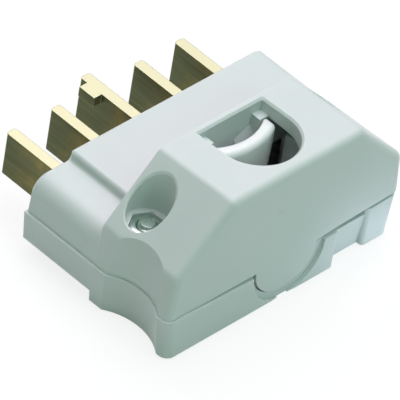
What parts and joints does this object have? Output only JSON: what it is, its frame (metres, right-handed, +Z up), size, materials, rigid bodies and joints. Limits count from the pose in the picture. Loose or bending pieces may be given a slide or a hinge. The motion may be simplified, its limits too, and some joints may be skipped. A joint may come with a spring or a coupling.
{
  "type": "power plug",
  "caption": "Light grey power plug with a row of flat brass blades behind, a sloped hood with a cord window in its top, a white cord saddle and finger grips at both ends.",
  "frame": {"origin": "on the mating face, where the parting plane between cover and base meets the centre plane of the hood", "axes": "+Y the way the plug goes into its socket, +Z up from the base to the hood, +X to the right as seen from the hood's front"},
  "size_m": [0.0682, 0.062, 0.0361],
  "materials": {
    "shell": "light grey moulded plastic, faint satin sheen",
    "saddle": "white moulded plastic, smooth",
    "brass": "plain rolled brass, slightly dulled",
    "steel": "bright zinc plate"
  },
  "bodies": {
    "root": {"upper_cover": "shell", "lower_base": "shell", "neutral_blade": "brass", "phase_1_blade": "brass", "earth_blade": "brass", "phase_2_blade": "brass", "phase_3_blade": "brass", "neutral_terminal": "brass", "phase_1_terminal": "brass", "earth_terminal": "brass", "phase_2_terminal": "brass", "phase_3_terminal": "brass", "terminal_screws": "steel", "cord_saddle": "saddle", "clamp_screws": "steel", "housing_screws": "steel", "housing_nuts": "steel"}
  },
  "joints": []
}
